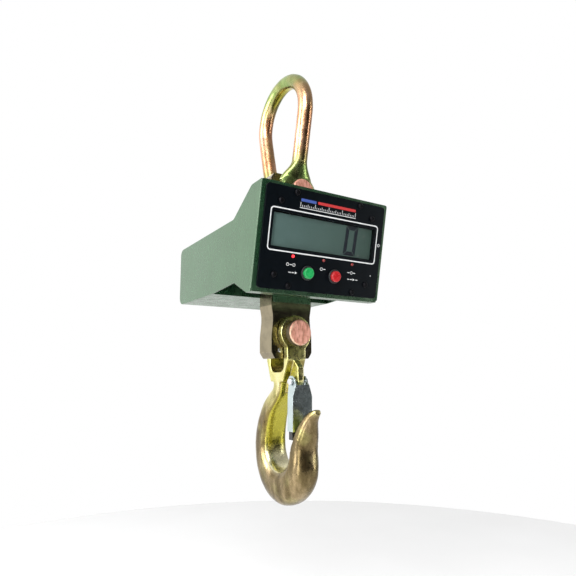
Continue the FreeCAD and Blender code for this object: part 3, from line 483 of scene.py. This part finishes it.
def zinc_chromate(name, centre, near, far, near_stops, far_stops, rough, grain,
                  metallic=1.0, cloud=13 * MM, highlight_below=NO_HIGHLIGHT, inner=INNER_YELLOW):
    """Yellow-passivated forging, whose colours drift in clouds and with height.

    They go from near_stops to far_stops between the distances near and far above or below
    centre. The rubbed inner side has its own colour, with a painted highlight at the bottom
    of the hook's bowl; on pins that colour is painted shade on their round side."""
    metal = Finish(name, Metallic=metallic)
    drift = metal.noise(cloud, 4, stretch=(1, 1, 3), rough=0.6)
    close_by = metal.ramp(drift, near_stops)
    further = metal.ramp(drift, far_stops)
    height = metal.math("ABSOLUTE", metal.math("SUBTRACT", metal.height(), centre))
    height = metal.span(height, near, far)
    wander = metal.span(metal.noise(22 * MM, 2), 0.3, 0.7, -0.25, 0.25)
    base = metal.blend(metal.span(metal.math("ADD", height, wander), 0, 1), close_by, further)
    inside = metal.node("ShaderNodeAttribute", attribute_name="inside").outputs["Fac"]
    # Below a given height the inner side turns to a painted highlight.
    highlighted = metal.span(metal.height(), highlight_below - HIGHLIGHT_FADE, highlight_below, 1, 0)
    lined = metal.blend(inside, base, metal.blend(highlighted, inner, BOWL_HIGHLIGHT))
    # A dark line along the border of the inner side.
    border = metal.math("MULTIPLY", inside, metal.math("SUBTRACT", 1.0, inside))
    edged = metal.blend(metal.span(border, 0, 0.25, 0, 0.7), lined, DARK_RIM)
    # By how sharply the skin bends: darker in its hollows, lighter on its crests.
    crest = metal.node("ShaderNodeNewGeometry").outputs["Pointiness"]
    darkened_hollows = metal.blend(metal.span(crest, 0.5, 0.44, 0, 0.6), edged, HOLLOW_DARK)
    crested = metal.blend(metal.span(crest, 0.53, 0.60, 0, 0.5), darkened_hollows, BRIGHT_CREST)
    speck = metal.span(metal.noise(0.9 * MM, 2), 0.60, 0.70, 0, 0.4)
    metal.colour(metal.blend(speck, crested, SPECKLE))
    metal.roughness(metal.span(metal.noise(5 * MM, 5), 0.3, 0.7, *rough))
    metal.bump(metal.noise(1.1 * MM, 4), 0.16 * MM, grain)
    metal.bump(metal.noise(3.2 * MM, 3, stretch=(1, 1, 4)), 0.35 * MM, grain * 0.7)
    return metal.material


def plain_metal(name, colour, rough, brushed=None, grain=0.25, darkest=0.76):
    """Plated or machined metal; brushed stretches its fine lines along an axis.

    darkest is the share of its colour left where the metal is dullest."""
    metal = Finish(name, Metallic=1.0)
    drift = metal.ramp(metal.noise(11 * MM, 4), [(0.3, scaled(colour, darkest)), (0.65, colour)])
    metal.colour(metal.blend(metal.wear(0.5), drift, scaled(colour, 1.3)))
    metal.roughness(metal.span(metal.noise(4 * MM, 5), 0.3, 0.7, *rough))
    if brushed:
        metal.bump(metal.noise(0.35 * MM, 3, stretch=brushed), 0.03 * MM, grain)
    metal.bump(metal.noise(1.6 * MM, 3), 0.05 * MM, grain)
    return metal.material


def moulded(name, colour, rough, grain=0.4, size=0.5, coat=0.0, **sockets):
    """Moulded plastic or rubber with a fine grain and slight unevenness."""
    plastic = Finish(name, Coat_Weight=coat, Coat_Roughness=0.12, **sockets)
    drift = plastic.ramp(plastic.noise(9 * MM, 4), [(0.3, colour), (0.75, scaled(colour, 1.3))])
    dusty = tuple(channel * 0.6 + 0.12 for channel in colour)
    plastic.colour(plastic.blend(plastic.wear(0.3), drift, dusty))
    plastic.roughness(plastic.span(plastic.noise(6 * MM, 4), 0.3, 0.7, *rough))
    plastic.bump(plastic.noise(size * MM, 2), 0.03 * MM, grain)
    return plastic.material


def circuit_board():
    """Solder mask over faint copper tracks."""
    board = Finish("circuit_board")
    tracks = board.node("ShaderNodeTexBrick")
    tracks.inputs["Scale"].default_value = 90
    board.feed(tracks.inputs["Vector"], board.place)
    mask = board.ramp(board.noise(20 * MM), [(0.3, (0.01, 0.10, 0.04)), (0.7, (0.02, 0.15, 0.06))])
    board.colour(board.blend(board.span(tracks.outputs["Fac"], 0, 1, 0, 0.5), mask,
                             (0.05, 0.24, 0.09)))
    board.roughness(board.span(board.noise(3 * MM), 0.3, 0.7, 0.25, 0.4))
    board.bump(tracks.outputs["Fac"], 0.03 * MM, 0.5)
    return board.material


def display_glass():
    """Reflective liquid crystal layer: grey-teal at the left, olive towards the right, with painted shade
    darkening it towards the right.
    """
    glass = Finish("lcd", Coat_Weight=0.3, Coat_Roughness=0.1)
    low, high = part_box("lcd_glass")
    across = glass.span(glass.height("X"), low.x, high.x)
    # Painted shade: the layer darkens from left to right.
    shaded_tint = glass.ramp(across, [(0.0, (0.120, 0.200, 0.186)), (0.5, (0.094, 0.156, 0.138)),
                               (1.0, (0.048, 0.090, 0.072))])
    mottled = glass.blend(glass.span(glass.noise(0.4 * MM, 2), 0.35, 0.65, 0, 0.10), shaded_tint,
                          (0.05, 0.07, 0.06))
    glass.colour(mottled)
    glass.roughness(glass.span(glass.noise(12 * MM), 0.3, 0.7, 0.28, 0.32))
    glass.bump(glass.noise(0.3 * MM, 2), 0.01 * MM, 0.3)
    return glass.material


def clear_window():
    """Thin clear acrylic over the display."""
    window = Finish("clear_window", Roughness=0.05, IOR=1.49, Alpha=0.10)
    window.colour(window.ramp(window.noise(8 * MM), [(0.3, (0.020, 0.024, 0.023)),
                                                     (0.7, (0.030, 0.034, 0.033))]))
    window.roughness(window.span(window.noise(5 * MM), 0.3, 0.7, 0.05, 0.065))
    return window.material


def glowing(name, colour, strength):
    """The lens of a lit lamp."""
    lamp = Finish(name, Emission_Color=(*colour, 1), Emission_Strength=strength, Roughness=0.3)
    lamp.colour(lamp.ramp(lamp.noise(1 * MM), [(0.3, colour), (0.7, scaled(colour, 0.7))]))
    lamp.bump(lamp.noise(0.3 * MM), 0.02 * MM, 0.2)
    return lamp.material


def printed(name, colour):
    """Screen-printed ink with a slightly uneven coat."""
    ink = Finish(name, Roughness=0.5)
    ink.colour(ink.ramp(ink.noise(1.2 * MM, 4), [(0.3, scaled(colour, 0.78)), (0.6, colour)]))
    ink.roughness(ink.span(ink.noise(2 * MM), 0.3, 0.7, 0.42, 0.6))
    ink.bump(ink.noise(0.4 * MM), 0.01 * MM, 0.3)
    return ink.material


# Colours of yellow-passivated steel, dull to bright, as stops of a cloud's value.
GOLD = [(0.30, (0.46, 0.44, 0.12)), (0.50, (0.68, 0.64, 0.26)), (0.70, (0.84, 0.76, 0.42))]
GREENISH = [(0.30, (0.17, 0.26, 0.07)), (0.50, (0.27, 0.36, 0.12)), (0.72, (0.48, 0.52, 0.24))]
PINKISH = [(0.30, (0.46, 0.20, 0.09)), (0.50, (0.66, 0.35, 0.19)), (0.70, (0.76, 0.46, 0.32))]
BROWN = [(0.30, (0.085, 0.060, 0.026)), (0.50, (0.175, 0.132, 0.062)), (0.70, (0.38, 0.285, 0.16))]
SALMON = [(0.34, (0.36, 0.14, 0.09)), (0.48, (0.64, 0.28, 0.20)), (0.64, (0.84, 0.44, 0.34))]

PAINT = green_paint()
SHACKLE_ZINC = zinc_chromate("shackle_zinc", UPPER_PIN.z + 76 * MM, 24 * MM, 50 * MM, PINKISH,
                             GREENISH, (0.20, 0.34), 0.2)
# The hook's bowl carries a painted highlight low on its inner side.
HOOK_ZINC = zinc_chromate("hook_zinc", LOWER_PIN.z - 170 * MM, 85 * MM, 125 * MM, BROWN, GOLD,
                          (0.20, 0.36), 0.35, highlight_below=LOWER_PIN.z - 110 * MM)
# Pins get painted shade on their round side: a dark colour in place of the inner one.
PIN_ZINC = zinc_chromate("pin_zinc", 0, 0, 1, SALMON, SALMON, (0.45, 0.6), 1.0, metallic=0.25,
                         cloud=2 * MM, inner=(0.055, 0.040, 0.022))
CELL_STEEL = plain_metal("cell_steel", (0.30, 0.255, 0.165), (0.16, 0.26), (12, 1, 1), 0.25)
BRIGHT_ZINC = plain_metal("bright_zinc", (0.72, 0.73, 0.75), (0.16, 0.32))
LATCH_ZINC = plain_metal("latch_zinc", (0.52, 0.60, 0.60), (0.22, 0.28), (1, 1, 14), 0.2, 0.92)
BLACK_STEEL = plain_metal("black_steel", (0.014, 0.014, 0.016), (0.4, 0.5))
BLACK_PANEL = moulded("black_panel", (0.0015, 0.0028, 0.0042), (0.30, 0.34), 0.12, 0.6,
                      Specular_IOR_Level=0.14)
BLACK_PLASTIC = moulded("black_plastic", (0.012, 0.012, 0.012), (0.35, 0.5))
BATTERY_CASE = moulded("battery_case", (0.06, 0.06, 0.065), (0.4, 0.55))
CHIP_PLASTIC = moulded("chip_plastic", (0.02, 0.02, 0.02), (0.4, 0.6))
FOIL = moulded("gauge_foil", (0.55, 0.30, 0.08), (0.3, 0.5))
LIGHT_GUIDE = moulded("light_guide", (0.70, 0.72, 0.68), (0.25, 0.4))
GREEN_CAP = moulded("green_cap", (0.012, 0.30, 0.075), (0.22, 0.32), 0.3, 0.6, 0.4)
RED_CAP = moulded("red_cap", (0.42, 0.012, 0.015), (0.22, 0.32), 0.3, 0.6, 0.4)
RUBBER = moulded("rubber", (0.012, 0.012, 0.012), (0.55, 0.75), 0.6, 0.8)
WHITE_INK = printed("white_ink", (0.80, 0.82, 0.82))
BLUE_INK = printed("blue_ink", (0.05, 0.10, 0.38))
RED_INK = printed("red_ink", (0.55, 0.03, 0.03))
SEGMENT_INK = printed("segment_ink", (0.002, 0.006, 0.016))
GHOST_INK = printed("ghost_ink", (0.12, 0.155, 0.13))
LED_LIT = glowing("led_lit", (0.80, 0.02, 0.03), 1.4)
LED_OFF = moulded("led_off", (0.20, 0.012, 0.010), (0.15, 0.3), 0.2, 0.5, 0.5)
BOARD = circuit_board()
GLASS = display_glass()
WINDOW = clear_window()


# ---- forged and machined pieces ----

# Lines in the openings of the bow and the hook; the surfaces that face them are rubbed,
# and at the bottom of the hook's bowl they carry a painted highlight.
CROWN = UPPER_PIN + Vector((0, 0, 115 * MM))
BOW_WAIST = CROWN - Vector((0, 0, 60 * MM))
BOWL = LOWER_PIN + Vector((0, -4 * MM, -110 * MM))
THROAT = LOWER_PIN + Vector((0, -26 * MM, -52 * MM))
forged("shackle_bow", SHACKLE_ZINC, 0.7 * MM, 8, 0.10 * MM, (CROWN, BOW_WAIST, ALONG_Y))
forged("hook_body", HOOK_ZINC, 0.65 * MM, 6, 0.16 * MM, (BOWL, THROAT, ALONG_X))
for pin_node in ("shackle_pin", "hook_pin"):
    mark_round(refined(pin_node, PIN_ZINC, 0.5 * MM).data)
refined("load_cell_body", CELL_STEEL, 1.2 * MM)
refined("latch_plate", LATCH_ZINC, 0.25 * MM)
refined("latch_tip_pad", BLACK_PLASTIC, 0.9 * MM)
refined("latch_rivet", BRIGHT_ZINC, 0.3 * MM)


# ---- housing ----

for sheet_node in ("side_plate_left", "side_plate_right", "head_top_sheet", "head_floor_sheet",
                   "head_rear_wall", "battery_box_front_wall", "battery_box_wrap", "battery_door",
                   "front_bracket", "rear_bracket", "front_frame"):
    refined(sheet_node, PAINT, 0.28 * MM)
refined("front_panel", BLACK_PANEL, 0.3 * MM)
refined("battery", BATTERY_CASE, 1.5 * MM)
refined("green_button_cap", GREEN_CAP, 0.5 * MM)
refined("red_button_cap", RED_CAP, 0.5 * MM)
refined("button_housings", BLACK_PLASTIC, 0.25 * MM)

# CAD pieces that are shown as they are, by the material they get.
CARRIED = {
    BRIGHT_ZINC: "shackle_pin_washer shackle_split_pin hook_pin_washer hook_spacer_washers "
                 "hook_split_pin load_cell_face_screws bracket_cell_bolts bracket_wall_bolts "
                 "bracket_wall_nuts panel_nuts board_screws board_standoffs battery_strap_screws",
    CELL_STEEL: "gauge_pocket_covers",
    BLACK_STEEL: "panel_screws battery_door_screws button_nuts charging_socket_nut battery_strap",
    BLACK_PLASTIC: "charging_socket load_cell_gland",
    BOARD: "lcd_carrier_board main_board",
    CHIP_PLASTIC: "board_components",
    FOIL: "strain_gauges",
    LIGHT_GUIDE: "lcd_backlight",
    GLASS: "lcd_glass",
    WINDOW: "display_window",
    RUBBER: "cable_grommets load_cell_cable battery_lead charging_lead",
}
for finish, names in CARRIED.items():
    for carried_node in names.split():
        NODES[carried_node].data.materials.clear()
        NODES[carried_node].data.materials.append(finish)


# ---- springs ----

def latch_spring():
    """Two coils on the rivet, each with a foot that pushes the latch shut."""
    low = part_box("latch_spring")[0]
    coil_radius = 3.1 * MM
    coil_length = 1.1 * MM
    lug_half_width = 3.7 * MM
    foot_reach = 5.4 * MM
    wire_radius = 0.5 * MM
    runs = []
    for side in (-1, 1):
        axis = ALONG_X * side
        inner = LATCH_PIVOT + axis * (lug_half_width + wire_radius)
        turns = coil_points(inner, axis, -ALONG_Y, coil_radius, coil_length, 2)
        foot = Vector((turns[-1].x, LATCH_PIVOT.y - foot_reach, low.z + wire_radius))
        runs.append(turns + [foot.lerp(turns[-1], 0.3), foot])
    foot = runs[0][-1]
    wire("latch_spring_wire", runs, wire_radius, BRIGHT_ZINC,
         "latch_spring")


def button_spring(node):
    """A coil between a button's cap and its housing."""
    low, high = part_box(node)
    centre = (low + high) / 2
    coil_radius = 3 * MM
    wire_radius = 0.4 * MM
    length = 5.8 * MM
    start = centre - INWARDS * length / 2
    turns = coil_points(start, INWARDS, ALONG_X, coil_radius, length, 4)
    wire(node + "_wire", [turns], wire_radius, BRIGHT_ZINC,
         node)


latch_spring()
button_spring("green_button_spring")
button_spring("red_button_spring")


# ---- lamps, display and printing on the panel ----

# Positions are (x, z) on the display head, and (front, back) in its y.
PANEL_FACE = -2 * MM
GLASS_FACE = min((HEAD.inverted() @ vertex.co).y for vertex in NODES["lcd_glass"].data.vertices)
INK = 0.05 * MM
ON_PANEL = (PANEL_FACE - INK, PANEL_FACE)
ON_GLASS = (GLASS_FACE - INK, GLASS_FACE)
LED_X = 34.4 * MM
FAR_OUT = 1.0                   # beyond either side of the panel
WINDOW_CENTRE = (0, -42.3 * MM)

# The rule: marks each side of the middle, their spacing and heights, and where it stands.
RULE_HALF = 16
RULE_STEP = 2 * MM
RULE_FOOT = -18.6 * MM
RULE_MARKS = ((8, 4.2 * MM), (4, 2.8 * MM), (1, 1.7 * MM))
MARK_HALF_WIDTH = 0.22 * MM
BAR_Z = -12.4 * MM

# The digit: its lower left corner, size, stroke, gap between bars and lean.
DIGIT_CORNER = (23.5 * MM, -56.3 * MM)
DIGIT_SIZE = (14.8 * MM, 29.0 * MM)
DIGIT_STROKE = 4.0 * MM
DIGIT_GAP = 0.4 * MM
DIGIT_LEAN = math.radians(3)


def make_lamps():
    """The three lamps as separate pieces; only the left one is lit."""
    source = NODES["status_leds"].data
    for name, low, high, material in (("led_left", -FAR_OUT, -LED_X / 2, LED_LIT),
                                      ("led_middle", -LED_X / 2, LED_X / 2, LED_OFF),
                                      ("led_right", LED_X / 2, FAR_OUT, LED_OFF)):
        bm = bmesh.new()
        bm.from_mesh(source)
        other = [vertex for vertex in bm.verts if not low < vertex.co.x < high]
        bmesh.ops.delete(bm, geom=other, context="VERTS")
        bmesh.ops.remove_doubles(bm, verts=bm.verts, dist=SAME_POINT)
        mesh = mesh_from(name, bm)
        smooth_shaded(mesh)
        finish_piece(link(name, mesh), "scale", material, ["status_leds"])


def draw_border(bm):
    """The line around the window."""
    ring(bm, rounded_box(62.6 * MM, 19.6 * MM, 3.4 * MM, WINDOW_CENTRE),
         rounded_box(61.5 * MM, 18.5 * MM, 2.4 * MM, WINDOW_CENTRE), *ON_PANEL)


def draw_rule(bm):
    """A plain graduated rule above the display."""
    for index in range(-RULE_HALF, RULE_HALF + 1):
        tall = next(height for every, height in RULE_MARKS if index % every == 0)
        left = index * RULE_STEP - MARK_HALF_WIDTH
        right = index * RULE_STEP + MARK_HALF_WIDTH
        prism(bm, [(left, RULE_FOOT), (right, RULE_FOOT),
                   (right, RULE_FOOT + tall), (left, RULE_FOOT + tall)], *ON_PANEL)
    prism(bm, rounded_box(32.6 * MM, 0.3 * MM, 0.29 * MM, (0, RULE_FOOT - 1 * MM), 2), *ON_PANEL)


def draw_bar(bm, left, right):
    """One plain coloured bar above the rule, from left to right."""
    middle = ((left + right) / 2, BAR_Z)
    prism(bm, rounded_box((right - left) / 2, 1.3 * MM, 0.5 * MM, middle, 3), *ON_PANEL)


# Rows of plain marks: the middle of each in millimetres, and its rings, bars and arrowheads.
ICON_STEP = 3.4
ICONS = [(-36, -72.5, "o-o"), (-33, -79.5, "-->"), (0, -73, "o-"), (34.5, -73, "-o-"),
         (36.5, -79.5, "-->-"), (65.5, -42, "o")]


def draw_icons(bm):
    """Plain marks beside the lamps and buttons, and the dot at the right."""
    arrow = 1.2 * MM
    for across, up, pattern in ICONS:
        for step, mark in enumerate(pattern):
            x = (across + ICON_STEP * (step - (len(pattern) - 1) / 2)) * MM
            z = up * MM
            if mark == "o":
                ring(bm, circle(1.5 * MM, (x, z)), circle(1.05 * MM, (x, z)), *ON_PANEL)
            elif mark == "-":
                prism(bm, rounded_box(1.4 * MM, 0.35 * MM, 0.3 * MM, (x, z), 2), *ON_PANEL)
            else:
                prism(bm, [(x - arrow, z - arrow), (x + arrow, z), (x - arrow, z + arrow)],
                      *ON_PANEL)
    prism(bm, circle(0.5 * MM, (59 * MM, -73.6 * MM), 12), *ON_PANEL)


def segment_outlines(width, height, thick, gap):
    """The six lit bars of a zero on a seven-bar digit, before it leans."""
    half = height / 2
    chamfer = thick * 0.5
    top = [(gap, height), (width - gap, height), (width - gap - thick, height - thick),
           (gap + thick, height - thick)]
    bottom = [(x, height - z) for x, z in reversed(top)]
    upper = [(0, height - gap), (0, half + gap), (chamfer, half + gap - chamfer * 0.4),
             (thick, half + gap), (thick, height - thick - gap)]
    lower = [(x, height - z) for x, z in reversed(upper)]
    bars = [top, bottom, upper, lower]
    bars += [[(width - x, z) for x, z in reversed(bar)] for bar in (upper, lower)]
    return bars


def draw_digit(bm):
    """The zero on the display."""
    left, base = DIGIT_CORNER
    lean = math.tan(DIGIT_LEAN)
    for outline in segment_outlines(*DIGIT_SIZE, DIGIT_STROKE, DIGIT_GAP):
        prism(bm, [(left + x + z * lean, base + z) for x, z in outline], *ON_GLASS)


def draw_ghosts(bm):
    """Two unlit dots beside the digit."""
    for place in ((47.4 * MM, -35.5 * MM), (42.6 * MM, -55.2 * MM)):
        prism(bm, circle(1.2 * MM, place, 16), *ON_GLASS)


def draw_inner_edge(bm):
    """The black edge of the display just behind the window."""
    ring(bm, rounded_box(61.5 * MM, 18.6 * MM, 0.5 * MM, WINDOW_CENTRE, 2),
         rounded_box(57.4 * MM, 15.0 * MM, 0.5 * MM, WINDOW_CENTRE, 2), *ON_GLASS)


make_lamps()
head_piece("panel_border", WHITE_INK, draw_border)
head_piece("panel_rule", WHITE_INK, draw_rule)
head_piece("panel_blue_bar", BLUE_INK, lambda bm: draw_bar(bm, -32 * MM, -15 * MM))
head_piece("panel_red_bar", RED_INK, lambda bm: draw_bar(bm, -13 * MM, 32 * MM))
head_piece("panel_icons", WHITE_INK, draw_icons)
head_piece("display_digit", SEGMENT_INK, draw_digit)
head_piece("display_ghosts", GHOST_INK, draw_ghosts)
head_piece("display_edge", BLACK_PANEL, draw_inner_edge)


# ---- floor, light and camera ----

FLOOR_RADIUS = 1.1
FLOOR_DROP = 0.25               # from the bottom of the hook, in metres

# The room that reflections see is brightest in this direction. Its levels go from the far
# side (0) to the bright side (1).
BRIGHT_SIDE = (-0.45, 0.88, 0.12)
ROOM_STRENGTH = 1.3
ROOM_LEVELS = [(0.0, 0.01), (0.04, 0.03), (0.12, 0.18), (0.4, 0.32), (0.6, 0.55), (0.85, 1.0)]

# Soft lights: name, direction from the object, distance, size in metres and power in watts.
LIGHTS = [("key", (-0.55, -0.65, 0.55), 1.6, (0.8, 0.8), 15),
          ("right_strip", (0.80, -0.60, 0.05), 1.5, (0.10, 1.6), 5),
          ("left_strip", (-0.85, -0.50, 0.10), 1.5, (0.28, 1.6), 13),
          ("side", (-0.95, 0.25, 0.25), 1.6, (0.8, 1.2), 22)]

# The camera: place, lens and sensor width in millimetres; angles in degrees.
CAMERA_PLACE = (-275.5, -444.8, -316.5)
CAMERA_LENS = 31.4
CAMERA_SENSOR = 36
CAMERA_TURN = 32.08
CAMERA_LIFT = 9.94
CAMERA_ROLL = -0.42


def make_floor():
    """A pale round table top well below the hook."""
    bm = bmesh.new()
    bmesh.ops.create_circle(bm, cap_ends=True, segments=96, radius=FLOOR_RADIUS)
    mesh = mesh_from("floor", bm)
    floor = link("floor", mesh)
    floor.location.z = CAD_BOX[0][2] - FLOOR_DROP
    pale = Finish("pale_floor", Roughness=0.8)
    pale.colour(pale.ramp(pale.noise(0.4), [(0.3, (0.86, 0.86, 0.86)), (0.7, (0.90, 0.90, 0.90))]))
    mesh.materials.append(pale.material)


def area_light(name, direction, distance, size, power):
    """A soft light that looks at the middle of the object."""
    middle = (Vector(CAD_BOX[0]) + Vector(CAD_BOX[1])) / 2
    lamp = bpy.data.lights.new(name, "AREA")
    lamp.shape = "RECTANGLE"
    lamp.size, lamp.size_y = size
    lamp.energy = power
    holder = link(name, lamp)
    holder.location = middle + Vector(direction).normalized() * distance
    holder.rotation_euler = (middle - holder.location).to_track_quat("-Z", "Y").to_euler()
    holder.visible_camera = False


def make_world():
    """White to the camera; to reflections, a room that is bright behind and to the left."""
    world = bpy.data.worlds.new("studio")
    bpy.context.scene.world = world
    world.use_nodes = True
    tree = world.node_tree
    room = tree.nodes["Background"]
    room.inputs["Strength"].default_value = ROOM_STRENGTH
    backdrop = tree.nodes.new("ShaderNodeBackground")
    backdrop.inputs["Color"].default_value = (1, 1, 1, 1)
    rays = tree.nodes.new("ShaderNodeLightPath")
    choose = tree.nodes.new("ShaderNodeMixShader")
    place = tree.nodes.new("ShaderNodeTexCoord")
    towards = tree.nodes.new("ShaderNodeVectorMath")
    towards.operation = "DOT_PRODUCT"
    towards.inputs[1].default_value = Vector(BRIGHT_SIDE).normalized()
    lift = tree.nodes.new("ShaderNodeMapRange")
    lift.inputs["From Min"].default_value = -1
    ramp = tree.nodes.new("ShaderNodeValToRGB")
    fill_ramp(ramp, [(share, (level, level, level)) for share, level in ROOM_LEVELS])
    tree.links.new(place.outputs["Generated"], towards.inputs[0])
    tree.links.new(towards.outputs["Value"], lift.inputs["Value"])
    tree.links.new(lift.outputs["Result"], ramp.inputs["Fac"])
    tree.links.new(ramp.outputs["Color"], room.inputs["Color"])
    tree.links.new(rays.outputs["Is Camera Ray"], choose.inputs["Fac"])
    tree.links.new(room.outputs["Background"], choose.inputs[1])
    tree.links.new(backdrop.outputs["Background"], choose.inputs[2])
    tree.links.new(choose.outputs["Shader"], tree.nodes["World Output"].inputs["Surface"])


def make_camera():
    """A view from the front left and below the housing, looking slightly up."""
    lens = bpy.data.cameras.new("camera")
    lens.sensor_width = CAMERA_SENSOR
    lens.lens = CAMERA_LENS
    camera = link("camera", lens)
    turn, lift, roll = map(math.radians, (CAMERA_TURN, CAMERA_LIFT, CAMERA_ROLL))
    place = Matrix.Translation(Vector(CAMERA_PLACE) * MM)
    place = place @ Matrix.Rotation(-turn, 4, "Z") @ Matrix.Rotation(math.pi / 2 + lift, 4, "X")
    camera.matrix_world = place @ Matrix.Rotation(roll, 4, "Z")
    bpy.context.scene.camera = camera


make_floor()
make_world()
for light in LIGHTS:
    area_light(*light)
make_camera()
bpy.context.scene.view_settings.view_transform = "Standard"
